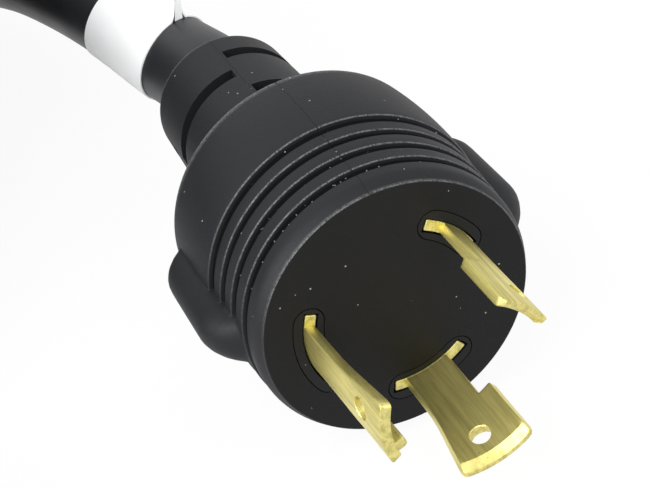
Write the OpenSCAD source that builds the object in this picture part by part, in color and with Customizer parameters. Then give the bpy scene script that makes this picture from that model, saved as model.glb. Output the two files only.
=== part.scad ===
// Shore power cord: a moulded locking plug, its heavy flexible cord, put away
// in a coil, and the matching moulded locking connector at the far end.
// Millimetres, +Z up. The plug lies along X with its blades towards +X.
// A plug or connector piece is drawn in its own axis frame and then placed:
// the flat face is at z = 0, the body runs towards -z, and angles are counted
// anticlockwise as seen from in front of the plug.

/* [Moulded body] */
// Radius of the flat front face
face_r = 20.3; // [19.8:0.1:20.6]
// Radius of the front ring
rim_r = 21.2; // [20.9:0.05:21.4]
// Length of the rounded front edge
rim_round = 2.6; // [1.5:0.1:3.6]
// Number of grooves round the body
groove_count = 4; // [3:1:4]
// Distance from the face to the first groove
groove_start = 4.2; // [3.8:0.1:5]
// Distance from one groove to the next
groove_pitch = 3.8; // [3.2:0.1:4]
// Width of a groove
groove_w = 1.15; // [0.6:0.05:1.6]
// Depth of a groove
groove_depth = 1.4; // [0.6:0.1:1.8]
// Growth of the radius from one ring to the next
ring_step = 0.24; // [0.1:0.02:0.3]
// Radius of the smooth body at its front edge
body_front_r = 22.35; // [22.1:0.05:22.5]
// Growth of the smooth body's radius at its fullest
body_crown = 0.4; // [0.1:0.05:1]
// Fall of the smooth body's radius from its front edge to its back edge
body_taper = 0.35; // [0.05:0.05:0.9]
// Length of the plug's body from its face to its back edge
plug_len = 33.2; // [32:0.2:38]
// Length of the connector's body from its face to its back edge
connector_len = 54; // [53:0.5:60]

/* [Grip wings] */
// Reach of a wing from the axis
wing_reach = 26; // [25:0.1:28]
// Thickness of a wing
wing_t = 8; // [6:0.2:10]
// Radius of a wing's back corner
wing_back_round = 5; // [3:0.5:8]
// Radius of a wing's front corner
wing_front_round = 8.5; // [4:0.5:10]
// Distance from the body's back edge to a wing's back end
wing_back = 2.2; // [1:0.1:4]
// Distance from the face to a wing's front end
wing_front = 5.2; // [4.4:0.1:6]

/* [Strain relief] */
// Radius of the strain relief where it meets the body
boot_front_r = 13.3; // [12.8:0.1:14.5]
// Radius of the strain relief at its end
boot_back_r = 12.25; // [11.6:0.05:12.7]
// Length of the strain relief behind the body
boot_len = 37.3; // [37:0.1:46]
// Rows of quarter-turn slots
slot_rows = 4; // [2:1:4]
// Width of a slot
slot_w = 2.7; // [1.5:0.1:3.5]
// Distance from one row of slots to the next
slot_pitch = 7.1; // [6:0.1:7.4]
// Distance from the strain relief's end to the middle of the last row
slot_back = 6.8; // [5:0.1:8]
// Rubber left between a slot and the cord
slot_floor = 1.2; // [0.8:0.1:2]
// Angle of rubber left between neighbouring slots
slot_web = 4; // [2:1:12]

/* [Blades] */
// Radius of the circle along the middle of the blades' thickness
blade_circle_r = 13.45; // [13.2:0.05:13.7]
// Thickness of a blade
blade_t = 1.6; // [1.3:0.1:1.8]
// Length of the two line blades in front of the face
line_len = 21.3; // [19:0.1:22]
// Length of the earth blade in front of the face
earth_len = 22.4; // [22:0.1:24]
// Distance from the face to a locking hook
hook_start = 10; // [8:0.1:12]
// Angle from the plug's zero to the middle of blade X's neck
x_at = 279.4; // [276:0.1:282]
// Angle to the middle of blade Y's neck
y_at = 39.6; // [37:0.1:42]
// Angle to the middle of the earth blade's neck
earth_at = 178.8; // [176:0.1:181]
// Half angle of the two wide necks
wide_half = 15.6; // [13:0.1:16]
// Half angle of the narrow neck
narrow_half = 9; // [8:0.1:10]
// Angle of a hook past its neck
hook_out = 10; // [6:0.1:10.5]
// Angle of a tip's flare on its other side
flare_out = 6.5; // [3:0.5:7]
// Angle of the shoulder past the neck on the flare's side
shoulder_flare = 7.6; // [7:0.1:9]
// Angle of the shoulder past the neck on the hook's side
shoulder_hook = 12; // [11:0.1:14]
// Angle of the earth blade's shoulder past its neck on the hook's side
shoulder_earth = 18.5; // [16:0.1:20]
// Depth of the shoulders behind the face
shoulder_depth = 6; // [4:0.5:7]
// Corner cut off each tip
tip_cut = 1; // [0.4:0.1:1.6]
// Radius of the hole in each blade
blade_hole_r = 1.6; // [1.2:0.05:2]
// Distance from a line blade's tip to the middle of its hole
hole_back = 4.8; // [4:0.1:6]
// Turn of the holes in Y and earth from the neck's middle, towards the flare
hole_turn = 5; // [0:0.5:6]
// Reach of the earth blade's bent hook towards the axis
earth_bend = 3; // [2:0.1:3.4]
// Lean of the earth blade's free end towards the axis, in degrees
earth_lean = 3; // [0:0.2:3.4]

/* [Inner pieces] */
// Thickness of the rubber face, and height of the bosses that stand in it
face_skin = 2.2; // [1.6:0.1:3]
// Radius of the blade and contact carriers
carrier_r = 17.4; // [16.8:0.1:18]
// Distance from the plug's face to the back of its blade carrier
blade_carrier_back = 9; // [8.5:0.5:10]
// Inner radius of the carrier's bosses
boss_in_r = 11.4; // [11:0.1:11.6]
// Outer radius of the carrier's bosses
boss_out_r = 15.9; // [15.5:0.1:16.4]
// Angle of a boss past its blade's shoulder
boss_past = 4.5; // [4:0.5:6]
// Radius of the connector's face plate
plate_r = 18; // [17.6:0.1:18.4]
// Thickness of the connector's face plate
plate_t = 7; // [6:0.5:9]
// Distance from the connector's face to the back of its contact carrier
contact_carrier_back = 31; // [30:0.5:32]
// Thickness of a contact's leaves
leaf_t = 0.8; // [0.5:0.1:1]
// Radius of the inner moulds
mould_r = 15.5; // [15:0.1:16.4]
// Distance of the crimp barrels from the axis
crimp_at_r = 10.4; // [10.2:0.1:10.6]
// Length of a crimp barrel
crimp_len = 9; // [7:0.5:9.5]
// Half angle of the tongue between a blade and its crimp
tongue_half = 8; // [5:0.5:9]

/* [Cord] */
// Outside diameter of the cord
cord_d = 17; // [16.6:0.1:17.2]
// Thickness of the cord's jacket
jacket_t = 2.6; // [2.3:0.1:2.7]
// Diameter of an insulated conductor
core_d = 5.2; // [4.8:0.1:5.3]
// Diameter of a conductor's copper
copper_d = 2.9; // [2.4:0.1:3]
// Diameter of a filler string
filler_d = 1.8; // [1.2:0.1:1.9]
// Length of the label along the cord
label_w = 24; // [16:1:28]
// Thickness of the label
label_t = 0.4; // [0.3:0.1:0.8]
// Height of the label's tab over the cord
label_tab = 20; // [8:1:30]
// Angle at which the label's tab stands
label_tab_at = 76; // [60:1:120]

/* [Coil] */
// Radius of the coil at the middle of its loops
coil_r = 92; // [88:1:100]
// Loops in each layer
layer_loops = 3; // [2:1:4]
// Gap between neighbouring loops
loop_gap = 0.6; // [0.5:0.1:1.5]

/* [Fits] */
// Gap between moulded pieces that lie in one another
fit = 0.05; // [0.02:0.01:0.1]
// Gap round a boss in the rubber face
boss_gap = 0.12; // [0.05:0.01:0.2]
// Gap round a blade or contact in its carrier
blade_gap = 0.3; // [0.1:0.05:0.4]
// Gap round a blade in the connector's face plate
entry_gap = 0.4; // [0.3:0.05:0.6]

/* [Hidden] */
$fn = 96;

rubber = [0.18, 0.18, 0.19];
nylon = [0.12, 0.12, 0.13];
brass = [0.85, 0.75, 0.4];
copper = [0.8, 0.45, 0.25];
white = [0.93, 0.94, 0.94];
red = [0.7, 0.1, 0.08];
green = [0.1, 0.5, 0.2];
black = [0.1, 0.1, 0.1];
jute = [0.8, 0.75, 0.6];

// What the pieces share.
eps = 0.01;
past = 1;
body_start = groove_start + (groove_count - 1) * groove_pitch + groove_w;
blade_in_r = blade_circle_r - blade_t / 2;
blade_out_r = blade_circle_r + blade_t / 2;
shoulder_grow = blade_gap / 2;
gap_angle = blade_gap / blade_circle_r * 180 / PI;
entry_angle = entry_gap / blade_circle_r * 180 / PI;
cord_r = cord_d / 2;
core_r = core_d / 2;
copper_r = copper_d / 2;

// Each blade: neck's middle, neck's half angle, shoulder past the neck on the
// hook's side, turn of its hole, crimp's angle.
lay_at = 45;
X = [x_at, wide_half, shoulder_hook, 0, lay_at + 240];
Y = [y_at, narrow_half, shoulder_hook, hole_turn, lay_at];
EARTH = [earth_at, wide_half, shoulder_earth, hole_turn, lay_at + 120];
BLADES = [X, Y, EARTH];
function neck_from(b) = b[0] - b[1];
function neck_to(b) = b[0] + b[1];
function shoulder_from(b) = neck_from(b) - shoulder_flare;
function shoulder_to(b) = neck_to(b) + b[2];

// The conductors: from the crimps they close in on the cord's middle. Heights
// here are counted from the body's back edge, positive towards the face.
crimp_front = 20.2;
crimp_back = crimp_front - crimp_len;
strip_gap = 1.5;
core_straight = 1;
core_front = crimp_back - strip_gap;
bend_front = core_front - core_straight;
copper_set_back = 0.5;
jacket_front = -1.9;
lay_r = core_r / sin(60) + fit;
filler_r = 4.2;
mould_cone_front = 9.2;
mould_tip_wall = 0.6;
mould_tip_r = cord_r + mould_tip_wall;

// Placing: the plug's lowest line is at z = 0, and the plug's own pieces are
// centred along X.
axis_h = max([for (i = [0:12]) body_r_at(i / 12)]);
face_x = (plug_len + boot_len - earth_len) / 2;

// The coil: loops side by side in four layers, each a pitch above the last.
// The cord comes in at coil_from and leaves along +X.
layers = 4;
rings_per_loop = 24;
loop_pitch = cord_d + loop_gap;
coil_from = 135;
coil_turns = layers * layer_loops + (270 - coil_from) / 360;
coil_out_r = coil_r + layer_loops / 2 * loop_pitch;
coil_middle = [-130, -151.5, cord_r];
COIL = concat(
    [coil_point(0) - cord_d * heading(0)],
    [for (i = [0:coil_turns * rings_per_loop]) coil_point(i / rings_per_loop)],
    [coil_point(coil_turns) + cord_d * heading(coil_turns)]
);
function heading(t) = [-sin(coil_from + 360 * t), cos(coil_from + 360 * t), 0];
function layer_of(t) = min(floor(t / layer_loops), layers - 1);
function turn_in_layer(t) = t - layer_of(t) * layer_loops;
function coil_r_at(t) = layer_of(t) % 2 == 0
    ? coil_out_r - turn_in_layer(t) * loop_pitch
    : coil_out_r - (layer_loops - turn_in_layer(t)) * loop_pitch;
function climb_at(t) = [for (k = [1:layers - 1]) ease((t - k * layer_loops) * 2 + 0.5)] * [for (k = [1:layers - 1]) 1];
function ease(u) = u <= 0 ? 0 : u >= 1 ? 1 : u * u * (3 - 2 * u);
function coil_point(t) = coil_middle + [
    coil_r_at(t) * cos(coil_from + 360 * t), coil_r_at(t) * sin(coil_from + 360 * t), climb_at(t) * loop_pitch
];

// The cord's free run: route points from the plug to the coil. The label sits
// between two of them.
RUN = [
    [face_x - plug_len - boot_len, 0, axis_h], [-55, 0, axis_h], [-71, -2.5, 21.4], [-95, -6.5, 21.2],
    [-115, -11.5, 21.4], [-133.9, -16.9, 20], [-152.4, -23.8, 17], [-170.1, -32.4, 13.2],
    [-186.8, -42.9, 9.8], COIL[0]
];
label_from = 2;
label_to = 3;

// The tail: on along X, round to +Y beside the coil, and down to the
// connector's axis, which lies along Y.
connector_x = 18;
tail_bend = 75;
tail_steps = 12;
tail_start = COIL[len(COIL) - 1];
tail_straight = connector_x - tail_bend - tail_start[0];
tail_len = tail_straight + tail_bend * PI / 2 + cord_d;
function tail_turn(s) = min(max((s - tail_straight) / tail_bend * 180 / PI, 0), 90);
function tail_point(s) = [
    tail_start[0] + min(s, tail_straight) + tail_bend * sin(tail_turn(s)),
    tail_start[1] + tail_bend * (1 - cos(tail_turn(s))) + max(s - tail_len + cord_d, 0),
    tail_start[2] + (axis_h - tail_start[2]) * ease((s - cord_d) / (tail_len - 2 * cord_d))
];
TAIL = [for (i = [0:tail_steps]) tail_point(tail_len * i / tail_steps)];
tail_end = TAIL[tail_steps];

function path_len(p) = [for (i = [1:len(p) - 1]) norm(p[i] - p[i - 1])] * [for (i = [1:len(p) - 1]) 1];
function least_gap(p, apart) = min([
    for (i = [0:len(p) - 1 - apart]) for (j = [i + apart:len(p) - 1]) norm(p[i] - p[j])
]) - cord_d;
echo(cord_length = path_len(RUN) + path_len(COIL) + path_len(TAIL));
echo(coil_least_gap = least_gap(COIL, 6));

// Outline of the moulded body.
function ring_r(k) = rim_r + ring_step * k;
function groove_at(k) = groove_start + groove_pitch * k;
function body_r_at(u) = body_front_r - body_taper * u + 4 * body_crown * u * (1 - u);
function rim_points() = [
    for (i = [0:6]) [face_r + (rim_r - face_r) * sin(15 * i), -rim_round * i / 6]
];
function groove_points() = [
    for (k = [0:groove_count - 1]) each [
        [ring_r(k), -groove_at(k)],
        [ring_r(k) - groove_depth, -groove_at(k)],
        [ring_r(k) - groove_depth, -groove_at(k) - groove_w],
        [k < groove_count - 1 ? ring_r(k + 1) : body_front_r, -groove_at(k) - groove_w]
    ]
];
function crown_points(back) = [
    for (i = [1:12]) [body_r_at(i / 12), -body_start - (back - body_start) * i / 12]
];

// A sector of a ring round the axis, from height low to high.
module sector(from, to, r0, r1, low, high) {
    rotate([0, 0, from]) rotate_extrude(angle = to - from)
        translate([r0, low]) square([r1 - r0, high - low]);
}

// A bar with round ends that follows the blades' circle.
function kidney_points(from, to, r0, r1) =
    let (mid = (r0 + r1) / 2, half = (r1 - r0) / 2, end = asin(half / mid))
    concat(
        [for (i = [0:16]) let (a = from + end + (to - from - 2 * end) * i / 16) r1 * [cos(a), sin(a)]],
        [for (i = [1:7]) mid * [cos(to - end), sin(to - end)] + half * [cos(to - end + i * 22.5), sin(to - end + i * 22.5)]],
        [for (i = [0:16]) let (a = to - end - (to - from - 2 * end) * i / 16) r0 * [cos(a), sin(a)]],
        [for (i = [1:7]) mid * [cos(from + end), sin(from + end)]
            + half * [cos(from + end + 180 + i * 22.5), sin(from + end + 180 + i * 22.5)]]
    );
module boss(b, grow, low, high) {
    grow_angle = grow / blade_circle_r * 180 / PI;
    translate([0, 0, low]) linear_extrude(high - low) polygon(kidney_points(
        shoulder_from(b) - boss_past - grow_angle, shoulder_to(b) + boss_past + grow_angle,
        boss_in_r - grow, boss_out_r + grow
    ));
}

// A solid swept along a path, with a section given as [side, up] points; its
// sides lie square to the direction over.
function unit(v) = v / norm(v);
function along(p, i) = unit(p[min(i + 1, len(p) - 1)] - p[max(i - 1, 0)]);
function side_of(d, over = [0, 0, 1]) = unit(cross(d, over));
function swept_ring(p, i, section, over) =
    let (d = along(p, i), s = side_of(d, over), u = cross(s, d))
    [for (q = section) p[i] + q[0] * s + q[1] * u];
function side_faces(rings, n) = [
    for (i = [0:rings - 2]) for (j = [0:n - 1])
        let (a = i * n + j, b = i * n + (j + 1) % n)
        each [[a, b, b + n], [a, b + n, a + n]]
];
module swept(path, section, over = [0, 0, 1]) {
    n = len(section);
    rings = len(path);
    first = [for (j = [1:n - 2]) [0, j + 1, j]];
    last = [for (j = [1:n - 2]) (rings - 1) * n * [1, 1, 1] + [0, j, j + 1]];
    polyhedron(
        points = [for (i = [0:rings - 1]) each swept_ring(path, i, section, over)],
        faces = concat(side_faces(rings, n), first, last)
    );
}
function round_section(r, sides) = [for (j = [0:sides - 1]) r * [cos(360 * j / sides), sin(360 * j / sides)]];
// Six sides with the area of the round cord, flat where it lies.
function flat_section(r) = let (w = (PI / 2 - 1) * r) [[r, 0], [w, r], [-w, r], [-r, 0], [-w, -r], [w, -r]];

// Where the plug and the connector stand.
module at_plug() { translate([face_x, 0, axis_h]) rotate([90, 0, 90]) children(); }
module at_connector() {
    translate([connector_x, tail_end[1] + boot_len + connector_len, axis_h])
        rotate([0, 0, 90]) rotate([90, 0, 90]) mirror([1, 0, 0]) children();
}

// What is left outside when a wing's corner is rounded.
module outside_round(r) {
    translate([wing_reach - r, 0]) difference() {
        translate([0, -past]) square(r + past);
        translate([0, r]) circle(r);
        translate([-past, r]) square(2 * r);
    }
}

// A grip wing, before it is joined to the body.
module wing(back) {
    tip = wing_reach - wing_t / 2;
    intersection() {
        rotate([90, 0, 0]) linear_extrude(wing_t, center = true) difference() {
            translate([carrier_r + past, wing_back - back])
                square([wing_reach, back - wing_back - wing_front]);
            translate([0, wing_back - back]) outside_round(wing_back_round);
            translate([0, -wing_front]) mirror([0, 1, 0]) outside_round(wing_front_round);
        }
        translate([0, 0, -back - past]) linear_extrude(back + 2 * past) union() {
            translate([0, -wing_t / 2]) square([tip, wing_t]);
            translate([tip, 0]) circle(wing_t / 2);
        }
    }
}

// The outside of a moulded plug or connector.
module moulding(back) {
    rotate_extrude() polygon(concat(
        [[0, 0]], rim_points(), groove_points(), crown_points(back),
        [[boot_front_r, -back], [boot_back_r, -back - boot_len], [0, -back - boot_len]]
    ));
    for (side = [0, 180]) rotate([0, 0, side]) wing(back);
}
module relief_slots(back) {
    for (k = [0:slot_rows - 1]) for (half = [0, 180])
        translate([0, 0, -back - boot_len + slot_back + slot_pitch * k])
            sector(
                half + 90 * (k % 2) + slot_web / 2, half + 90 * (k % 2) + 90 - slot_web / 2,
                cord_r + slot_floor, boot_front_r + past, -slot_w / 2, slot_w / 2
            );
}
// The room for the inner mould and the cord's end.
module back_room(back, front) {
    translate([0, 0, -back]) {
        rotate_extrude() polygon(mould_outline(back - front, fit));
        translate([0, 0, -boot_len - past]) cylinder(boot_len + past + jacket_front + fit, cord_r + fit, cord_r + fit);
    }
}
function mould_outline(front, grow) = [
    [0, jacket_front - grow], [mould_tip_r + grow, jacket_front - grow],
    [mould_r + grow, mould_cone_front - grow], [mould_r + grow, front + grow], [0, front + grow]
];

module plug_overmould() {
    color(rubber) at_plug() difference() {
        moulding(plug_len);
        relief_slots(plug_len);
        for (b = BLADES) boss(b, boss_gap, -face_skin - eps, past);
        translate([0, 0, -blade_carrier_back - fit])
            cylinder(blade_carrier_back - face_skin + fit, carrier_r + fit, carrier_r + fit);
        back_room(plug_len, blade_carrier_back);
    }
}

module blade_carrier() {
    color(nylon) at_plug() difference() {
        union() {
            translate([0, 0, -blade_carrier_back])
                cylinder(blade_carrier_back - face_skin - fit, carrier_r, carrier_r);
            for (b = BLADES) boss(b, 0, -face_skin - past, 0);
        }
        for (b = BLADES) {
            sector(
                shoulder_from(b) - gap_angle, shoulder_to(b) + gap_angle,
                blade_in_r - blade_gap, blade_out_r + blade_gap, -shoulder_depth - fit, past
            );
            tongue(b, blade_gap / 2, -blade_carrier_back - past, -shoulder_depth + past);
        }
    }
}

// The narrow strip between a blade or contact and its crimp.
module tongue(b, grow, low, high) {
    grow_angle = grow / blade_circle_r * 180 / PI;
    sector(
        b[4] - tongue_half - grow_angle, b[4] + tongue_half + grow_angle,
        blade_in_r - grow, blade_out_r + grow, low, high
    );
}
module crimp(b, back) {
    rotate([0, 0, b[4]]) translate([crimp_at_r, 0, -back + crimp_back]) cylinder(crimp_len, core_r, core_r);
}
module crimp_bore(b, back) {
    rotate([0, 0, b[4]]) translate([crimp_at_r, 0, -back + crimp_back - past])
        cylinder(crimp_len + 2 * past, copper_r + fit, copper_r + fit);
}

// Turns a blade's free end towards the axis, about its root at the face.
module leaning(at, angle) {
    rotate([0, 0, at]) translate([blade_circle_r, 0, 0]) rotate([0, -angle, 0])
        translate([-blade_circle_r, 0, 0]) rotate([0, 0, -at]) children();
}
module tip_corner_cut(at, height) {
    rotate([0, 0, at]) translate([blade_circle_r, 0, height]) rotate([45, 0, 0])
        cube([4 * blade_t, tip_cut * sqrt(2), tip_cut * sqrt(2)], center = true);
}
// The free part of a blade, cut from one curved strip: neck, locking hook,
// flare and hole.
module blade_front(b, length, hook_to, hole_z) {
    flare = neck_from(b) - flare_out;
    low = -blade_gap - past;
    difference() {
        sector(flare, hook_to, blade_in_r, blade_out_r, low, length);
        sector(flare - past, neck_from(b), blade_in_r - past, blade_out_r + past, low - past, hook_start);
        sector(neck_to(b), hook_to + past, blade_in_r - past, blade_out_r + past, low - past, hook_start);
        rotate([0, 0, b[0] - b[3]]) translate([0, 0, hole_z]) rotate([0, 90, 0])
            cylinder(2 * blade_circle_r, blade_hole_r, blade_hole_r);
        tip_corner_cut(flare, length);
        tip_corner_cut(hook_to, length);
    }
}
// The part of a blade in the plug: a thickened shoulder, tongue and crimp.
module blade_back(b) {
    difference() {
        union() {
            sector(
                shoulder_from(b), shoulder_to(b),
                blade_in_r - shoulder_grow, blade_out_r + shoulder_grow, -shoulder_depth, -blade_gap
            );
            tongue(b, 0, -plug_len + crimp_back + past, -shoulder_depth + past);
            crimp(b, plug_len);
        }
        crimp_bore(b, plug_len);
    }
}
module line_blade(b) {
    color(brass) at_plug() {
        blade_front(b, line_len, neck_to(b) + hook_out, line_len - hole_back);
        blade_back(b);
    }
}
module blade_x() { line_blade(X); }
module blade_y() { line_blade(Y); }
module blade_earth() {
    bend_at = neck_to(EARTH) + hook_out;
    color(brass) at_plug() {
        leaning(earth_at, earth_lean) {
            blade_front(EARTH, earth_len, bend_at, line_len - hole_back);
            rotate([0, 0, bend_at]) translate([blade_in_r - earth_bend, -blade_t - fit, hook_start + fit])
                cube([earth_bend + blade_t / 2, blade_t, earth_len - tip_cut - hook_start - 2 * fit]);
        }
        blade_back(EARTH);
    }
}

// A rod along the way of one conductor, from its front height to the cord's end.
module conductor_rod(b, r, front, back, end = 0) {
    rotate([0, 0, b[4]]) translate([0, 0, -back]) swept(
        [[crimp_at_r, 0, front], [crimp_at_r, 0, bend_front], [lay_r, 0, 0], [lay_r, 0, -boot_len - end]],
        round_section(r, 12), [1, 0, 0]
    );
}
module conductor(b, back) {
    difference() {
        conductor_rod(b, core_r, core_front, back);
        conductor_rod(b, copper_r + fit, core_front + past, back, past);
    }
}
module copper_strands(b, back) { conductor_rod(b, copper_r, crimp_front - copper_set_back, back); }

module inner_mould(back, front) {
    difference() {
        translate([0, 0, -back]) rotate_extrude() polygon(mould_outline(back - front, -fit));
        for (b = BLADES) {
            conductor_rod(b, core_r + fit, crimp_front + fit, back);
            tongue(b, fit, -back + crimp_back - fit, -front + past);
        }
    }
}
module cord_jacket(back) {
    translate([0, 0, -back - boot_len]) difference() {
        cylinder(boot_len + jacket_front - fit, cord_r, cord_r);
        translate([0, 0, -past]) cylinder(boot_len + 2 * past, cord_r - jacket_t, cord_r - jacket_t);
    }
}
module cord_fillers(back) {
    for (b = BLADES) rotate([0, 0, b[4] + 60]) translate([filler_r, 0, -back - boot_len])
        cylinder(boot_len + jacket_front - fit, filler_d / 2, filler_d / 2);
}

module plug_inner_mould() { color(nylon) at_plug() inner_mould(plug_len, blade_carrier_back); }
module plug_conductor_x() { color(black) at_plug() conductor(X, plug_len); }
module plug_conductor_y() { color(red) at_plug() conductor(Y, plug_len); }
module plug_conductor_earth() { color(green) at_plug() conductor(EARTH, plug_len); }
module plug_copper_x() { color(copper) at_plug() copper_strands(X, plug_len); }
module plug_copper_y() { color(copper) at_plug() copper_strands(Y, plug_len); }
module plug_copper_earth() { color(copper) at_plug() copper_strands(EARTH, plug_len); }
module plug_cord_jacket() { color(rubber) at_plug() cord_jacket(plug_len); }
module plug_cord_fillers() { color(jute) at_plug() cord_fillers(plug_len); }

module cord_run() { color(rubber) swept(RUN, round_section(cord_r, 12)); }
module cord_coil() { color(rubber) swept(COIL, flat_section(cord_r)); }
module cord_tail() { color(rubber) swept(TAIL, round_section(cord_r, 12)); }

// The label: a sleeve round the cord with its ends stuck together as a tab.
module cord_label() {
    from = RUN[label_from];
    d = unit(RUN[label_to] - from);
    middle = (from + RUN[label_to]) / 2;
    outer = [middle - d * label_w / 2, middle + d * label_w / 2];
    inner = [middle - d * (label_w / 2 + past), middle + d * (label_w / 2 + past)];
    color(white) {
        difference() {
            swept(outer, round_section(cord_r + fit + label_t, 24));
            swept(inner, round_section(cord_r + fit, 24));
        }
        s = side_of(d);
        u = cross(s, d);
        lean = cos(label_tab_at) * s + sin(label_tab_at) * u;
        tab_from = cord_r + fit + label_t / 4;
        swept(
            [outer[0] + fit * d, outer[1] - fit * d],
            [for (q = [[-1, 0], [1, 0], [1, 1], [-1, 1]])
                let (v = q[0] * label_t * cross(d, lean) + (tab_from + q[1] * label_tab) * lean) [v * s, v * u]]
        );
    }
}

module connector_overmould() {
    color(rubber) at_connector() difference() {
        moulding(connector_len);
        relief_slots(connector_len);
        translate([0, 0, -plate_t - fit]) cylinder(plate_t + fit + past, plate_r + fit, plate_r + fit);
        translate([0, 0, -contact_carrier_back - fit])
            cylinder(contact_carrier_back, carrier_r + fit, carrier_r + fit);
        back_room(connector_len, contact_carrier_back);
    }
}

// The way in for the earth blade's bent hook.
module bend_way(grow, low, high) {
    rotate([0, 0, neck_to(EARTH) + hook_out])
        translate([blade_in_r - earth_bend - grow, -blade_t - grow, low])
            cube([earth_bend + blade_t / 2 + grow, blade_t + 2 * grow, high - low]);
}
module connector_face_plate() {
    color(nylon) at_connector() difference() {
        translate([0, 0, -plate_t]) cylinder(plate_t, plate_r, plate_r);
        for (b = BLADES) sector(
            neck_from(b) - flare_out - entry_angle, neck_to(b) + hook_out + entry_angle,
            blade_in_r - entry_gap, blade_out_r + entry_gap, -plate_t - past, past
        );
        bend_way(entry_gap, -plate_t - past, past);
    }
}

contact_front = plate_t + blade_gap;
contact_floor = 4;
contact_back = contact_carrier_back - contact_floor;
leaf_in_r = blade_in_r - fit;
leaf_out_r = blade_out_r + fit;
module contact_carrier() {
    color(nylon) at_connector() difference() {
        translate([0, 0, -contact_carrier_back])
            cylinder(contact_carrier_back - plate_t - fit, carrier_r, carrier_r);
        for (b = BLADES) {
            sector(
                shoulder_from(b) - gap_angle, shoulder_to(b) + gap_angle,
                leaf_in_r - leaf_t - blade_gap, leaf_out_r + leaf_t + blade_gap,
                -contact_back - leaf_t - fit, past
            );
            tongue(b, blade_gap / 2, -contact_carrier_back - past, -contact_back + past);
        }
        bend_way(entry_gap, -contact_back, past);
    }
}

// A contact: an inner and an outer leaf on a back, a tongue and a crimp.
module contact(b) {
    color(brass) at_connector() difference() {
        union() {
            sector(
                shoulder_from(b), shoulder_to(b),
                leaf_in_r - leaf_t, leaf_out_r + leaf_t, -contact_back - leaf_t, -contact_front
            );
            tongue(b, 0, -connector_len + crimp_back + past, -contact_back - leaf_t / 2);
            crimp(b, connector_len);
        }
        sector(
            shoulder_from(b) - past, shoulder_to(b) + past,
            leaf_in_r, leaf_out_r, -contact_back, past
        );
        crimp_bore(b, connector_len);
    }
}
module contact_x() { contact(X); }
module contact_y() { contact(Y); }
module contact_earth() { contact(EARTH); }

module connector_inner_mould() { color(nylon) at_connector() inner_mould(connector_len, contact_carrier_back); }
module connector_conductor_x() { color(black) at_connector() conductor(X, connector_len); }
module connector_conductor_y() { color(red) at_connector() conductor(Y, connector_len); }
module connector_conductor_earth() { color(green) at_connector() conductor(EARTH, connector_len); }
module connector_copper_x() { color(copper) at_connector() copper_strands(X, connector_len); }
module connector_copper_y() { color(copper) at_connector() copper_strands(Y, connector_len); }
module connector_copper_earth() { color(copper) at_connector() copper_strands(EARTH, connector_len); }
module connector_cord_jacket() { color(rubber) at_connector() cord_jacket(connector_len); }
module connector_cord_fillers() { color(jute) at_connector() cord_fillers(connector_len); }

plug_overmould();
blade_carrier();
blade_x();
blade_y();
blade_earth();
plug_inner_mould();
plug_conductor_x();
plug_conductor_y();
plug_conductor_earth();
plug_copper_x();
plug_copper_y();
plug_copper_earth();
plug_cord_jacket();
plug_cord_fillers();
cord_label();
cord_run();
cord_coil();
cord_tail();
connector_overmould();
connector_face_plate();
contact_carrier();
contact_x();
contact_y();
contact_earth();
connector_inner_mould();
connector_conductor_x();
connector_conductor_y();
connector_conductor_earth();
connector_copper_x();
connector_copper_y();
connector_copper_earth();
connector_cord_jacket();
connector_cord_fillers();
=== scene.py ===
import bpy
import numpy as np
from mathutils import Matrix


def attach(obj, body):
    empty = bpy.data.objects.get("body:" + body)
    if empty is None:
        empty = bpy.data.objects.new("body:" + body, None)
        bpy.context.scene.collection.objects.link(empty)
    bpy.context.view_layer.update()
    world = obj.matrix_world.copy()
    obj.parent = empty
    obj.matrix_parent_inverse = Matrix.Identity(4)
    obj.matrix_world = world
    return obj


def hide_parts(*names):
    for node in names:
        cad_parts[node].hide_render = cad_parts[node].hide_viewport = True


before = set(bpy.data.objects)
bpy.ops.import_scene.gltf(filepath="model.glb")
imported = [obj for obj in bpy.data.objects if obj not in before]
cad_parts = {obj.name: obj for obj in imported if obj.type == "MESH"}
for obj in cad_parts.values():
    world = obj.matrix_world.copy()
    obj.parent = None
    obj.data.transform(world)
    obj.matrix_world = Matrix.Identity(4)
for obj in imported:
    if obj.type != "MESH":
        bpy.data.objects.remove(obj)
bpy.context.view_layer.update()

# ---------------------------------------------------------------- camera
# It looks down on the blades from in front of them, a little to one side, with
# the coil and the far connector outside its view. Its place is in metres.
CAMERA_STAND = (0.19115, -0.0499, 0.1646)
CAMERA_AHEAD = (-0.7822, 0.1975, -0.5910)
CAMERA_UP = (-0.4863, 0.3994, 0.7773)


def facing(stand, ahead, up=(0, 0, 1)):
    """The place and turn of a thing at stand that looks ahead, along its own -Z. Its X is ahead x up and
    its Y is X x ahead."""
    ahead = np.array(ahead, float) / np.linalg.norm(ahead)
    right = np.cross(ahead, up)
    right /= np.linalg.norm(right)
    axes = np.column_stack([right, np.cross(right, ahead), -ahead, stand])
    return Matrix(np.vstack([axes, [0, 0, 0, 1]]).tolist())


camera = bpy.data.objects.new("camera", bpy.data.cameras.new("camera"))
camera.data.sensor_width = 36
camera.data.lens = 88.6
camera.data.clip_start = 0.01
camera.matrix_world = facing(CAMERA_STAND, CAMERA_AHEAD, CAMERA_UP)
bpy.context.scene.collection.objects.link(camera)
bpy.context.scene.camera = camera
bpy.context.scene.view_settings.view_transform = "Standard"

# ---------------------------------------------------------------- cord
# The cord is three insulated conductors in an extruded jacket of black rubber,
# 17 mm through and in one length. It comes straight out of the plug, down to
# the floor, lies in four layers of three loops and ends in the connector.

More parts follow.
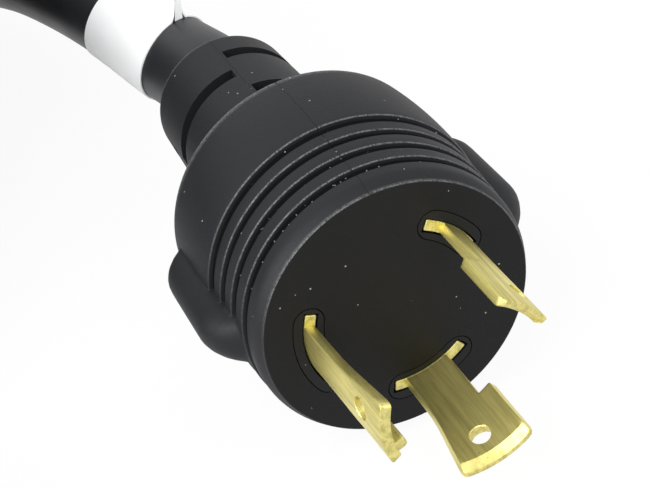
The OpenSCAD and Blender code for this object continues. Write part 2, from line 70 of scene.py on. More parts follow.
# From here to the floor sizes are in millimetres, and MM is one in metres.
MM = 0.001
AXIS_H = 22.593
CORD_R = 8.5
STRAIGHT = 17
COIL_MIDDLE = (-130, -151.5, CORD_R)
COIL_OUT_R = 118.4
COIL_FROM = 135
LOOPS = 12.375
LAYERS = 4
LAYER_LOOPS = 3
LOOP_PITCH = 17.6
LOOP_POINTS = 24
CONNECTOR_X = 18
TAIL_BEND = 75
TAIL_POINTS = 12

# From the plug to the coil the cord follows listed points.
run = np.array([
    [-46.45, 0, AXIS_H], [-55, 0, AXIS_H], [-71, -2.5, 21.4], [-95, -6.5, 21.2],
    [-115, -11.5, 21.4], [-133.9, -16.9, 20], [-152.4, -23.8, 17], [-170.1, -32.4, 13.2],
    [-186.8, -42.9, 9.8],
])

# The loops go in, out, in and out again, one layer on the last. Where a layer
# ends, the cord climbs by one pitch within half a loop.
loops = np.arange(round(LOOPS * LOOP_POINTS) + 1) / LOOP_POINTS
loops_in = np.where(
    loops < LAYER_LOOPS * (LAYERS - 1), LAYER_LOOPS - np.abs(LAYER_LOOPS - loops % (2 * LAYER_LOOPS)),
    LAYER_LOOPS * LAYERS - loops,
)
coil_r = COIL_OUT_R - LOOP_PITCH * loops_in
climb = np.clip((loops[:, None] - LAYER_LOOPS * np.arange(1, LAYERS)) * 2 + 0.5, 0, 1)
climb = (climb ** 2 * (3 - 2 * climb)).sum(1)
turn = np.radians(COIL_FROM) + 2 * np.pi * loops
coil = COIL_MIDDLE + np.stack([
    coil_r * np.cos(turn), coil_r * np.sin(turn), climb * LOOP_PITCH
], 1)
heading = np.stack([-np.sin(turn), np.cos(turn), 0 * turn], 1)
coil = np.vstack([coil[0] - STRAIGHT * heading[0], coil, coil[-1] + STRAIGHT * heading[-1]])

# The tail runs straight off the coil, round a quarter turn and straight into
# the connector, and comes down to the connector's axis on the way.
tail_straight = CONNECTOR_X - TAIL_BEND - coil[-1, 0]
tail_len = tail_straight + TAIL_BEND * np.pi / 2 + STRAIGHT
s = tail_len * np.arange(1, TAIL_POINTS + 1) / TAIL_POINTS
quarter = np.clip((s - tail_straight) / TAIL_BEND, 0, np.pi / 2)
down = np.clip((s - STRAIGHT) / (tail_len - 2 * STRAIGHT), 0, 1)
tail = coil[-1] + np.stack([
    np.minimum(s, tail_straight) + TAIL_BEND * np.sin(quarter),
    TAIL_BEND * (1 - np.cos(quarter)) + np.maximum(s - tail_len + STRAIGHT, 0),
    (AXIS_H - coil[-1, 2]) * down ** 2 * (3 - 2 * down),
], 1)
route = np.vstack([run, coil, tail])


def smooth_through(points, steps):
    """A smooth curve through points. Between b and c, with a before and d after, it is half of
    2b + (c - a)t + (2a - 5b + 4c - d)t^2 + (3b - a - 3c + d)t^3, for t from 0 to 1."""
    p = np.vstack([2 * points[:1] - points[1:2], points, 2 * points[-1:] - points[-2:-1]])
    a, b, c, d = p[:-3, None], p[1:-2, None], p[2:-1, None], p[3:, None]
    t = (np.arange(steps) / steps)[None, :, None]
    curve = (
        2 * b + (c - a) * t + (2 * a - 5 * b + 4 * c - d) * t ** 2 + (3 * b - a - 3 * c + d) * t ** 3
    )
    return np.vstack([curve.reshape(-1, 3) / 2, points[-1:]])


def frames_along(path):
    """For each point of a path, a level direction across it and one square to both."""
    onward = np.gradient(path, axis=0)
    across = np.cross(onward, [0, 0, 1])
    upward = np.cross(across, onward)
    return [v / np.linalg.norm(v, axis=1, keepdims=True) for v in (across, upward)]


def tube(path, radius, sides):
    """A round tube: path + radius * (across * cos t + upward * sin t)."""
    across, upward = frames_along(path)
    t = np.linspace(0, 2 * np.pi, sides, endpoint=False)[None, :, None]
    return path[:, None] + radius * (across[:, None] * np.cos(t) + upward[:, None] * np.sin(t))


def shell(rings, poles=None):
    """Points and faces of a closed skin. Ring i runs round the points rings[i], and neighbouring
    rings are joined by quads. With poles, (first, last), the ends are fans to these two points.
    Without, the last ring joins the first. The faces are turned to give a volume above zero."""
    rows, columns = rings.shape[:2]
    index = np.arange(rows * columns).reshape(rows, columns)
    if poles is None:
        index = np.vstack([index, index[:1]])
    here, there = index[:-1], index[1:]
    quads = np.stack([here, np.roll(here, -1, 1), np.roll(there, -1, 1), there], -1).reshape(-1, 4)
    points = rings.reshape(-1, 3)
    fans = np.zeros((0, 3), int)
    if poles is not None:
        points = np.vstack([points, poles])
        pole = np.full(columns, rows * columns)
        first, last = index[0], index[-1]
        fans = np.vstack([
            np.stack([np.roll(first, -1), first, pole], 1),
            np.stack([last, np.roll(last, -1), pole + 1], 1),
        ])
    corners = points[np.vstack([quads[:, :3], quads[:, [0, 2, 3]], fans])]
    volume = np.einsum("ij,ij->", corners[:, 0], np.cross(corners[:, 1], corners[:, 2]))
    faces = quads.tolist() + fans.tolist()
    return points, [f[::-1] for f in faces] if volume < 0 else faces


def piece(name, shells, finish, sharp=32):
    """One object from shells, smooth except where faces meet at more than sharp degrees."""
    points, faces, count = [], [], 0
    for shell_points, shell_faces in shells:
        points.append(shell_points)
        faces += [[i + count for i in f] for f in shell_faces]
        count += len(shell_points)
    mesh = bpy.data.meshes.new(name)
    mesh.from_pydata((np.vstack(points) * MM).tolist(), [], faces)
    mesh.shade_smooth()
    mesh.set_sharp_from_angle(angle=np.radians(sharp))
    mesh.materials.append(finish)
    made = bpy.data.objects.new(name, mesh)
    bpy.context.scene.collection.objects.link(made)
    return made


class Value:
    """A shader socket that reckons as a number does: each operator adds one Math node."""

    def __init__(self, finish, socket):
        self.finish, self.socket = finish, socket

    def maths(self, operation, *values):
        return self.finish.node("ShaderNodeMath", {"operation": operation}, dict(enumerate(values)))

    def __add__(self, other):
        return self.maths("ADD", self, other)

    def __sub__(self, other):
        return self.maths("SUBTRACT", self, other)

    def __rsub__(self, other):
        return self.maths("SUBTRACT", other, self)

    def __mul__(self, other):
        return self.maths("MULTIPLY", self, other)

    def __lt__(self, other):
        return self.maths("LESS_THAN", self, other)

    def __gt__(self, other):
        return self.maths("GREATER_THAN", self, other)

    __radd__ = __add__
    __rmul__ = __mul__


class Finish:
    """A material built node by node."""

    def __init__(self, name):
        self.material = bpy.data.materials.new(name)
        self.material.use_nodes = True
        self.tree = self.material.node_tree
        self.tree.nodes.clear()

    def node(self, kind, settings=None, sockets=None, out=0):
        """Adds a node, sets its settings, then its sockets' values or links, and gives back one of
        its outputs."""
        made = self.tree.nodes.new(kind)
        for name, value in (settings or {}).items():
            setattr(made, name, value)
        for name, value in (sockets or {}).items():
            if isinstance(value, Value):
                self.tree.links.new(value.socket, made.inputs[name])
            else:
                made.inputs[name].default_value = value
        return Value(self, made.outputs[out]) if len(made.outputs) else None

    def place(self, scale=(1, 1, 1)):
        """Object coordinates times scale, in metres."""
        where = self.node("ShaderNodeTexCoord", out="Object")
        return self.node("ShaderNodeVectorMath", {"operation": "MULTIPLY"}, {0: where, 1: scale})

    def noise(self, where, scale, detail=3.0, rough=0.55):
        sockets = {"Vector": where, "Scale": scale, "Detail": detail, "Roughness": rough}
        return self.node("ShaderNodeTexNoise", {}, sockets, "Fac")

    def mix(self, factor, *colours):
        """The first colour where factor is 0 and the second where it is 1. They are the Mix node's
        sockets 6 and 7, and its output 2."""
        first, second = [c if isinstance(c, Value) else (*c, 1) for c in colours]
        sockets = {0: factor, 6: first, 7: second}
        return self.node("ShaderNodeMix", {"data_type": "RGBA"}, sockets, 2)

    def specks(self, where, scale, size, share):
        """1 on specks and 0 elsewhere. Space has scale cells to the metre, and a share of the cells
        holds a speck, with a radius of size cells."""
        sockets = {"Vector": where, "Scale": scale, "Randomness": 1.0}
        distance = self.node("ShaderNodeTexVoronoi", {"feature": "F1"}, sockets, "Distance")
        colour = self.node("ShaderNodeTexVoronoi", {"feature": "F1"}, sockets, "Color")
        lot = self.node("ShaderNodeSeparateColor", {}, {0: colour})
        return (distance < size) * (lot < share)

    def surface(self, sockets, height, relief=1.0):
        """The shader, with its sockets and, from height in millimetres, its bumps."""
        bumps = self.node(
            "ShaderNodeBump", {}, {"Strength": relief, "Distance": MM, "Height": height}, "Normal"
        )
        shader = self.node("ShaderNodeBsdfPrincipled", {}, dict(sockets, Normal=bumps))
        self.node("ShaderNodeOutputMaterial", {}, {"Surface": shader})
        return self.material


def jacket_rubber():
    """Extruded black rubber: satin, with a faint grain and a little dust."""
    f = Finish("cord_jacket")
    where = f.place()
    cloud = f.noise(where, 90)
    grain = f.noise(where, 3200, 2)
    dust = f.specks(where, 260, 0.045, 0.25)
    plain = f.mix(cloud, (0.012, 0.0125, 0.0145), (0.019, 0.0195, 0.0225))
    return f.surface({
        "Base Color": f.mix(dust, plain, (0.16, 0.16, 0.15)),
        "Roughness": 0.34 + 0.16 * cloud + 0.2 * dust,
        "Specular IOR Level": 0.3,
    }, 0.02 * grain + 0.05 * cloud, 0.8)


jacket = jacket_rubber()
cord_line = smooth_through(route, 4)
cord = piece("cord", [shell(tube(cord_line, CORD_R, 28), cord_line[[0, -1]])], jacket)
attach(cord, "root")
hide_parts("cord_run", "cord_coil", "cord_tail")

# ---------------------------------------------------------------- label
# A printer's label of white coated film, left blank. It is wrapped once round
# the cord behind the plug, and its two ends are stuck together as a flag.
LABEL_IN_R = CORD_R + 0.04
LABEL_OUT_R = CORD_R + 0.3
LABEL_T = 0.25
LABEL_ASKEW = 5
LABEL_ASKEW_AT = 124
LABEL_BACK = 0.9
TAB_AT = np.radians(76)
TAB_FOOT = np.radians(13)
TAB_REACH = 28.5
TAB_CURL = 1.3
TAB_CURL_FROM = 10
# The cord's route in fine steps, and those of them that lie under the label.
LABEL_STEPS = 48
UNDER_LABEL = slice(91, 143, 2)
label_line = smooth_through(route[:6], LABEL_STEPS)[UNDER_LABEL]
label_across, label_upward = frames_along(label_line)
tab_out = np.array([np.cos(TAB_AT), np.sin(TAB_AT)])
tab_side = np.array([-np.sin(TAB_AT), np.cos(TAB_AT)])


def label_section(radius, tab):
    """Round the cord at radius, then, at the tab's angle, up one side of the tab, over it and down
    the other. Without the tab the same number of points goes on round the cord."""
    arc = np.linspace(TAB_FOOT, 2 * np.pi - TAB_FOOT, 72)
    rise = np.linspace(0, 1, 14)
    if not tab:
        under_tab = np.linspace(arc[-1], arc[-1] + 2 * TAB_FOOT, 2 * len(rise) + 2)[1:-1]
        arc = np.r_[arc, under_tab]
    arc = TAB_AT + arc
    section = radius * np.stack([np.cos(arc), np.sin(arc)], 1)
    if not tab:
        return section
    foot_out, foot_half = radius * np.cos(TAB_FOOT), radius * np.sin(TAB_FOOT)
    out = foot_out + rise * (TAB_REACH - foot_out)
    half = LABEL_T + (foot_half - LABEL_T) * np.clip(1 - rise * 7, 0, 1) ** 2
    out, half = np.r_[out, out[::-1]][:, None], np.r_[-half, half[::-1]][:, None]
    return np.vstack([section, out * tab_out + half * tab_side])


def label_ring(section, i):
    """The section set across the cord at point i of its line. The label goes round askew, by a cosine
    of the angle round the cord, and its tab curls to one side by the square of the height, most at
    its end."""
    height = np.clip(section @ tab_out - TAB_CURL_FROM, 0, None) / (TAB_REACH - CORD_R)
    curl = TAB_CURL * height ** 2 * (0.35 + 0.65 * i / len(label_line))
    turned = section + curl[:, None] * tab_side
    around = np.arctan2(section[:, 1], section[:, 0]) - np.radians(LABEL_ASKEW_AT)
    askew = LABEL_ASKEW * np.cos(around) - LABEL_BACK
    onward = np.cross(label_across[i], label_upward[i])
    ring = label_line[i] + turned[:, :1] * label_across[i] + turned[:, 1:] * label_upward[i]
    return ring + askew[:, None] * onward


def label_film():
    """White coated film: satin, a little cockled, with a faint fibre."""
    f = Finish("label_film")
    where = f.place()
    cockle = f.noise(where, 70, 2)
    fibre = f.noise(where, 1500, 2)
    return f.surface({
        "Base Color": f.mix(cockle, (0.88, 0.895, 0.895), (0.93, 0.94, 0.945)),
        "Roughness": 0.38 + 0.15 * fibre,
    }, 0.18 * cockle + 0.008 * fibre, 0.6)


outer, inner = label_section(LABEL_OUT_R, True), label_section(LABEL_IN_R, False)
label_rings = [label_ring(outer, i) for i in range(len(label_line))]
label_rings += [label_ring(inner, i) for i in range(len(label_line))[::-1]]
label = piece("label", [shell(np.stack(label_rings))], label_film(), sharp=40)
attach(label, "root")
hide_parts("cord_label")

# ---------------------------------------------------------------- plug moulding
# The plug's body, grip wings and slotted strain relief are one soft black
# moulding, run round the blade carrier and the cord. It has four grooves, a
# parting line from the two halves of its mould and a fine spark-eroded grain.
FIT = 0.05
PLUG_BACK = 33.2
FACE_R = 20.3
FACE_SKIN = 2.2
RIM_R = 21.2
RIM_ROUND = 2.6
GROOVES = 4
GROOVE_START = 4.2
GROOVE_PITCH = 3.8
GROOVE_W = 1.15
GROOVE_DEPTH = 1.4
GROOVE_DRAFT = 0.06
RING_STEP = 0.24
BODY_FRONT_R = 22.35
BODY_TAPER = 0.35
BODY_CROWN = 0.4
SEAM_DEPTH = 0.05
SEAM_HALF = 0.4
# The grip wings. Their ends are counted from the body's two ends.
WING_REACH = 26
WING_HALF = 4
WING_BACK, WING_BACK_R = 2.2, 5
WING_FRONT, WING_FRONT_R = 5.2, 8.5
# The strain relief and its rows of quarter-turn slots.
BOOT_LEN = 37.3
BOOT_R = 13.3
BOOT_TAPER = 1.05
SLOT_ROWS = 4
SLOT_BACK = 6.8
SLOT_PITCH = 7.1
SLOT_HALF = 1.35
SLOT_WALL = 0.03
SLOT_WEB_HALF = 2
SLOT_FLOOR_R = CORD_R + 1.2
# The inside: the inner mould, its cone at the cord, and the carrier.
CONE_TIP, CONE_TIP_R = 1.9, 9.1
CONE_TOP = 9.2
MOULD_R = 15.5
CARRIER_R = 17.4
CARRIER_BACK = 9
# The holes in the face for the carrier's kidney-shaped bosses.
KIDNEY_MID = 13.65
KIDNEY_HALF = 2.37
KIDNEY_PAST = 5.01
# Each blade: middle and half angle of its neck, its shoulder past the neck, its crimp's angle.
WIDE_HALF, NARROW_HALF = 15.6, 9
SHOULDER_FLARE, SHOULDER_HOOK, SHOULDER_EARTH = 7.6, 12, 18.5
BLADE_X = (279.4, WIDE_HALF, SHOULDER_HOOK, 285)
BLADE_Y = (39.6, NARROW_HALF, SHOULDER_HOOK, 45)
BLADE_EARTH = (178.8, WIDE_HALF, SHOULDER_EARTH, 165)
# How a point of the moulding is painted: highlight line on an edge, plain, shade on the face, shade in a
# groove.
EDGE_HIGHLIGHT, PLAIN, FACE_SHADE, GROOVE_SHADE = 1.0, 0.0, -0.4, -1.0

# Each end: where its face stands on the floor's plan, and the ways out of the face and across it.
PLUG_END = ((route[0, 0] + PLUG_BACK + BOOT_LEN, 0), (1, 0), (0, 1))
groove_at = -GROOVE_START - GROOVE_PITCH * np.arange(GROOVES)
barrel_at = groove_at[-1] - GROOVE_W - GROOVE_DRAFT
ring_r = np.r_[RIM_R + RING_STEP * np.arange(GROOVES), BODY_FRONT_R]
body_back_r = BODY_FRONT_R - BODY_TAPER
boot_end_r = BOOT_R - BOOT_TAPER
cap_angle = np.degrees(np.arcsin(KIDNEY_HALF / KIDNEY_MID))
kidneys = np.array([
    [at - half - SHOULDER_FLARE - KIDNEY_PAST + cap_angle, at + half + past + KIDNEY_PAST - cap_angle]
    for at, half, past, _ in (BLADE_Y, BLADE_EARTH, BLADE_X)
])


def in_place(end, along, across, upward):
    """From an end's own frame, in which its face is at 0 and along runs out of it, to the object's."""
    face, out, side = end
    x = face[0] + along * out[0] + across * side[0]
    y = face[1] + along * out[1] + across * side[1]
    return np.stack(np.broadcast_arrays(x, y, AXIS_H + upward), -1)


def eased(corners, cuts):
    """Each corner becomes (1-u)^2 before + 2u(1-u) corner + u^2 after, where before and after lie on
    its two edges, cut away from it."""
    corners, cut = np.array(corners, float), np.array(cuts, float)[:, None]
    back, on = np.roll(corners, 1, 0) - corners, np.roll(corners, -1, 0) - corners
    before = corners + cut * back / np.maximum(np.linalg.norm(back, axis=1, keepdims=True), 1e-9)
    after = corners + cut * on / np.maximum(np.linalg.norm(on, axis=1, keepdims=True), 1e-9)
    before, corners, after = before[:, None], corners[:, None], after[:, None]
    u = np.linspace(0, 1, 4)[None, :, None]
    curve = ((1 - u) ** 2 * before + 2 * u * (1 - u) * corners + u ** 2 * after).reshape(-1, 2)
    return curve[np.r_[True, np.linalg.norm(np.diff(curve, axis=0), axis=1) > 1e-3]]


def side_profile(back):
    """Place and radius of the outside, from the face's edge to the body's back edge: an edge rounded
    by a sine, the grooves with a little draft, and a barrel whose radius is
    R - taper v + 4 crown v (1 - v), v going from 0 to 1. More rows, on the same lines, stand close
    together at the wings' corners."""
    u = np.linspace(0, 1, 7)
    rim = np.stack([-RIM_ROUND * u, FACE_R + (RIM_R - FACE_R) * np.sin(u * np.pi / 2)], 1)
    front = np.vstack([rim, [[-3.3, RIM_R], [-3.7, RIM_R], [-3.9, RIM_R]]])
    floor_r = ring_r[:-1] - GROOVE_DEPTH
    grooves = np.stack([
        np.stack([groove_at + GROOVE_DRAFT, ring_r[:-1]], 1),
        np.stack([groove_at - GROOVE_DRAFT, floor_r], 1),
        np.stack([groove_at - GROOVE_W + GROOVE_DRAFT, floor_r], 1),
        np.stack([groove_at - GROOVE_W - GROOVE_DRAFT, ring_r[1:]], 1),
    ], 1).reshape(-1, 2)
    v = np.linspace(0, 1, 14)[1:]
    barrel = np.stack([
        barrel_at - (back + barrel_at) * v,
        BODY_FRONT_R - BODY_TAPER * v + 4 * BODY_CROWN * v * (1 - v),
    ], 1)
    cuts = [0] + [0.24, 0.2, 0.2, 0.24] * GROOVES + [0]
    grooves = eased(np.vstack([front[-1:], grooves, barrel[:1]]), cuts)
    profile = np.vstack([front[:-1], grooves, barrel[1:]])
    back_turns = np.radians([15, 30, 42, 52, 60, 66, 71, 76, 82])
    front_turns = np.radians([10, 20, 30, 38, 45, 51, 56, 60, 64, 68])
    more = np.r_[
        WING_BACK - back + WING_BACK_R * (1 - np.sin(back_turns)),
        -WING_FRONT - WING_FRONT_R * (1 - np.sin(front_turns)),
    ]
    more = more[np.abs(more[:, None] - profile[:, 0]).min(1) > 0.03]
    more_r = np.interp(-more, -profile[:, 0], profile[:, 1])
    profile = np.vstack([profile, np.stack([more, more_r], 1)])
    return profile[np.argsort(-profile[:, 0], kind="stable")]


def wing_reach(along, back):
    """How far a grip wing reaches from the axis: R in its straight middle, and R - r + sqrt(r^2 - t^2)
    in a corner of radius r, t being the distance into the corner. Before and behind the wing, 0."""
    from_back, from_front = along + back - WING_BACK, -WING_FRONT - along
    corners = [
        WING_REACH - r + np.sqrt(np.clip(r ** 2 - np.clip(r - past_end, 0, r) ** 2, 0, None))
        for r, past_end in ((WING_BACK_R, from_back), (WING_FRONT_R, from_front))
    ]
    return np.where((from_back < 0) | (from_front < 0), 0, np.minimum(*corners))


def wing_radius(angle, reach):
    """A wing is a bar with a round edge of radius h, half its thickness. Seen along the axis, a line at
    an angle a from its middle leaves it at c cos a + sqrt(h^2 - (c sin a)^2), c being reach - h, or, on
    its flat sides, at h / sin a."""
    off = np.radians(np.abs((angle + 90) % 180 - 90))
    sine, c = np.maximum(np.sin(off), 1e-6), reach - WING_HALF
    on_round = WING_HALF * np.cos(off) / sine > c
    edge = c * np.cos(off) + np.sqrt(np.clip(WING_HALF ** 2 - (c * np.sin(off)) ** 2, 0, None))
    return np.where(on_round, edge, WING_HALF / sine)


def joined(a, b, blend):
    """The larger of a and b, filled in by up to a quarter of blend where they are nearly the same."""
    near = np.clip(blend - np.abs(a - b), 0, None)
    return np.maximum(a, b) + near ** 2 / (4 * blend)


def moulding_columns():
    """Angles of the columns: close together at the wings' edges, on both sides of a slot's end and of a
    kidney's end, and at the parting line, and no more than 2.2 degrees apart elsewhere."""
    wing = np.array([
        0, 3, 4.4, 5.6, 6.7, 7.6, 8.3, 8.9, 9.4, 9.85, 10.25, 10.6, 10.95, 11.35, 11.9, 12.8,
    ])
    slot = SLOT_WEB_HALF + np.array([-0.03, 0.03])
    seam = np.array([0, 0.35, 0.75])
    middles = ((wing, (0, 180)), (slot, (0, 90, 180, 270)), (seam, (90, 270)))
    marks = np.concatenate(
        [middle + sign * off for off, at in middles for middle in at for sign in (1, -1)]
        + [kidneys.ravel() + 0.03, kidneys.ravel() - 0.03]
    )
    marks = np.unique(np.round(marks % 360, 3))
    marks = np.r_[marks, marks[0] + 360]
    return np.concatenate([
        np.linspace(a, b, int(np.ceil((b - a) / 2.2)), endpoint=False)
        for a, b in zip(marks[:-1], marks[1:])
    ])


def strain_relief(back):
    """Places and radii of the strain relief's rings, with two at each side of a slot, and the places
    of the slots' middles. The radius falls evenly from the body to the end."""
    end = -back - BOOT_LEN
    slot_middle = end + SLOT_BACK + SLOT_PITCH * np.arange(SLOT_ROWS)
    side = np.array([SLOT_HALF, SLOT_HALF + SLOT_WALL])
    at = np.r_[
        (slot_middle[:, None] + np.r_[-side, 0, side]).ravel(), slot_middle[:-1] + SLOT_PITCH / 2,
        -back - 1.5, -back - 4, end + np.array([0.12, 0.5, 2.4, 4]),
    ]
    at = np.sort(at)[::-1]
    return np.stack([at, BOOT_R - BOOT_TAPER * (-back - at) / BOOT_LEN], 1), slot_middle


def painted_light_of(rings, back):
    """For each ring, 1 for a painted highlight line by an edge that catches light (behind a groove, at
    the face, at the body's back and at the strain relief's end), -1 for painted shade in a groove, and 0
    elsewhere."""
    # Edges that get a painted highlight line.
    highlit_edges = np.vstack([
        np.stack([groove_at - GROOVE_W - GROOVE_DRAFT, ring_r[1:]], 1),
        [[-0.1, FACE_R + 0.05], [-back + 0.06, body_back_r - 0.07]],
        [[-back - BOOT_LEN + 0.06, boot_end_r - 0.03]],
    ])
    along, radius = rings.T
    by_edge = np.linalg.norm(rings[:, None] - highlit_edges, axis=2).min(1) < 0.2
    # Points in a groove get painted shade.
    grooved = (radius < RIM_R - 0.3) & (along < 0.2 - GROOVE_START) & (along > barrel_at - 0.2)
    return np.where(by_edge, EDGE_HIGHLIGHT, np.where(grooved, GROOVE_SHADE, PLAIN))


def kidney_holes(front, columns):
    """For each face ring and column, the turn that brings the column to a kidney's round end, and
    whether it lies within a kidney. On a ring of radius r the end lies, past the middle of its
    rounding, at the angle whose cosine is (r^2 + m^2 - h^2) / 2rm, m and h being the kidney's middle
    radius and half width."""
    r, m, h = front[:, 1:], KIDNEY_MID, KIDNEY_HALF
    past = np.degrees(np.arccos(np.clip((r ** 2 + m ** 2 - h ** 2) / (2 * r * m), -1, 1)))
    past[np.abs(r - m) > h] = 0
    sign = np.interp(columns, kidneys.ravel(), [-1, 1] * len(kidneys), period=360)
    within = ((columns[:, None] > kidneys[:, 0]) & (columns[:, None] < kidneys[:, 1])).any(1)
    return past * sign, within & (np.abs(r - m) < h - 0.005)


def moulded_end(end, back, front, inside, poles):
    """Rings of a moulded end, from the front rings over the side, the back edge and the strain relief
    to the rings inside, with the painted highlight or shade of each of their points. The radius on the
    side is the larger of the profile and the wings, and in a slot's quarter turn it is the slot's floor."""
    columns = moulding_columns()
    side = side_profile(back)
    boot, slot_middle = strain_relief(back)
    boot_end = -back - BOOT_LEN
    back_edge = np.array([
        [-back + 0.1, body_back_r - 0.03], [-back + 0.01, body_back_r - 0.15],
        [-back - 0.02, body_back_r - 0.34], [-back - 0.02, body_back_r - 0.8], [-back - 0.02, 17],
        [-back - 0.02, BOOT_R + 0.6], [-back - 0.1, BOOT_R + 0.2], [-back - 0.45, BOOT_R + 0.02],
    ])
    end_face = np.array([
        [boot_end, boot_end_r - 0.12], [boot_end, CORD_R + 0.12], [boot_end + 0.07, CORD_R + FIT],
    ])
    rings = np.vstack([front, side, back_edge, boot, end_face, inside])
    first_boot = len(front) + len(side) + len(back_edge)
    on_face = slice(len(front))
    on_wings = slice(len(front), len(front) + len(side) + 1)
    on_boot = slice(first_boot, first_boot + len(boot))
    outside = slice(len(front), first_boot + len(boot))
    along = rings[:, :1] * np.ones(len(columns))
    radius = rings[:, 1:] * np.ones(len(columns))
    angle = columns * np.ones((len(rings), 1))
    off_seam = np.abs(columns % 180 - 90)
    radius[outside] -= SEAM_DEPTH * np.clip(1 - off_seam / SEAM_HALF, 0, 1)
    wing = wing_radius(columns, wing_reach(along[on_wings], back))

    # The painted highlight lines on the edges are faint by the wing at 180 degrees: within 14 degrees of
    # its middle they keep 0.15 of their strength, and more and more of it up to 52 degrees.
    highlight_fade = 0.15 + 0.85 * np.clip((np.abs(columns - 180) - 14) / 38, 0, 1)
    painted_light = painted_light_of(rings, back)[:, None]
    painted_light = painted_light * np.where(painted_light > 0, highlight_fade, 1)
    # The face gets painted shade.
    painted_light[on_face] = FACE_SHADE
    # The parting line gets the painted shade of a groove.
    painted_light[outside, off_seam < 0.1] = GROOVE_SHADE
    painted_light[on_wings][wing > radius[on_wings]] = PLAIN

    radius[on_wings] = joined(radius[on_wings], wing, 0.5)
    quarter = (columns[:, None] - 90 * (np.arange(SLOT_ROWS) % 2)) % 180
    in_turn = (quarter > SLOT_WEB_HALF) & (quarter < 90 - SLOT_WEB_HALF)
    in_row = np.abs(boot[:, :1] - slot_middle) < SLOT_HALF + SLOT_WALL / 2
    radius[on_boot][(in_row[:, None] & in_turn).any(-1)] = SLOT_FLOOR_R
    if poles is not None:
        turned, holed = kidney_holes(front, columns)
        angle[on_face] += turned
        along[on_face][holed] = FIT - FACE_SKIN
    angle = np.radians(angle)
    points = in_place(end, along, radius * np.cos(angle), radius * np.sin(angle))
    if poles is None:
        return shell(points), painted_light.ravel()
    poles = [in_place(end, p, 0, 0) for p in poles]
    return shell(points, poles), np.r_[painted_light.ravel(), FACE_SHADE, PLAIN]


def hollow(back, carrier_back, *mouth):
    """Place and radius of the rings inside a moulded end, a fit clear of what they hold: from the cord
    over the inner mould's cone and its round part to the carrier, and then its mouth."""
    cone_tip, cone_top, carrier_end = -back - CONE_TIP - FIT, CONE_TOP - back - FIT, -carrier_back - FIT
    return np.array([
        [cone_tip, CORD_R + FIT], [cone_tip, CONE_TIP_R + FIT], [cone_top, MOULD_R + FIT],
        [carrier_end, MOULD_R + FIT], [carrier_end, CARRIER_R + FIT], *mouth,
    ])


def moulded_rubber():
    """Soft black moulding compound: matt, with a fine even grain, faint flow clouds and specks of
    dust. A point attribute paints light and shade: above 0, on an edge, a grainy grey painted highlight
    line;
    at -0.4, on the face, and at -1, in a groove, painted shade, and in a groove a few pale specks as
    painted glints."""
    f = Finish("moulded_rubber")
    where = f.place()
    cloud = f.noise(where, 70)
    grain = f.noise(where, 2600, 3, 0.7)
    coarse = f.noise(where, 3600, 2, 0.8)
    painted_light = f.node("ShaderNodeAttribute", {"attribute_name": "painted_light"}, out="Fac")
    # Masks of the painted shade in the grooves and on the face.
    groove_shade_mask = painted_light < -0.5
    on_face = (painted_light < -0.3) - groove_shade_mask
    # Painted highlight: grainy grey lines along the edges.
    edge_highlight = f.node("ShaderNodeClamp", {}, {"Value": painted_light * (coarse * 3.6 - 1.2)})
    # Painted glints: pale specks scattered in the grooves.
    painted_glints = groove_shade_mask * f.specks(where, 2300, 0.24, 0.16)
    dust = f.specks(where, 420, 0.055, 0.3)
    plain = f.mix(cloud, (0.0078, 0.0082, 0.0097), (0.0125, 0.013, 0.015))
    # Painted shade: the grooves and the face darkened towards black.
    shaded = f.mix(0.6 * groove_shade_mask + 0.8 * on_face, plain, (0.002, 0.002, 0.002))
    # The painted highlight lines laid over the painted shade.
    edged = f.mix(edge_highlight, shaded, (0.13, 0.13, 0.135))
    return f.surface({
        # Dust specks, and the painted glints in the grooves, in pale grey.
        "Base Color": f.mix(dust + painted_glints, edged, (0.3, 0.3, 0.29)),
        "Roughness": 0.44 + 0.12 * cloud + 0.1 * grain + 0.1 * edge_highlight,
        "Specular IOR Level": 0.2,
    }, 0.05 * grain + 0.03 * cloud)


rubber = moulded_rubber()


def moulding(name, *shape):
    """A moulded end as one piece, with its painted highlight and shade as an attribute of its points."""
    skin, painted_light = moulded_end(*shape)
    made = piece(name, [skin], rubber)
    made.data.attributes.new("painted_light", "FLOAT", "POINT").data.foreach_set("value", painted_light)
    return made


band = KIDNEY_MID - KIDNEY_HALF * np.cos(np.linspace(0, np.pi, 25))
face_ring_r = np.r_[
    2.5, 5, 7.5, 9.3, 10.6, band[0] - 0.01, band[0] + 0.01, band[1:-1], band[-1] - 0.01, band[-1] + 0.01,
    16.8, 18, 19.2, 20, 20.16,
]
plug_face = np.stack([np.zeros(len(face_ring_r)), face_ring_r], 1)
plug_inside = hollow(
    PLUG_BACK, CARRIER_BACK, [-FACE_SKIN, CARRIER_R + FIT], [-FACE_SKIN, 9], [-FACE_SKIN, 3]
)
plug = moulding("plug_moulding", PLUG_END, PLUG_BACK, plug_face, plug_inside, (0, -FACE_SKIN))
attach(plug, "root")
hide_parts("plug_overmould")

# ---------------------------------------------------------------- blade carrier and inner pieces
# The carrier is glass-filled black nylon with three kidney-shaped bosses that
# stand flush in the rubber face. Behind it the crimps and the ends of the
# conductors lie in a first shot of plastic, under the jacket's end.


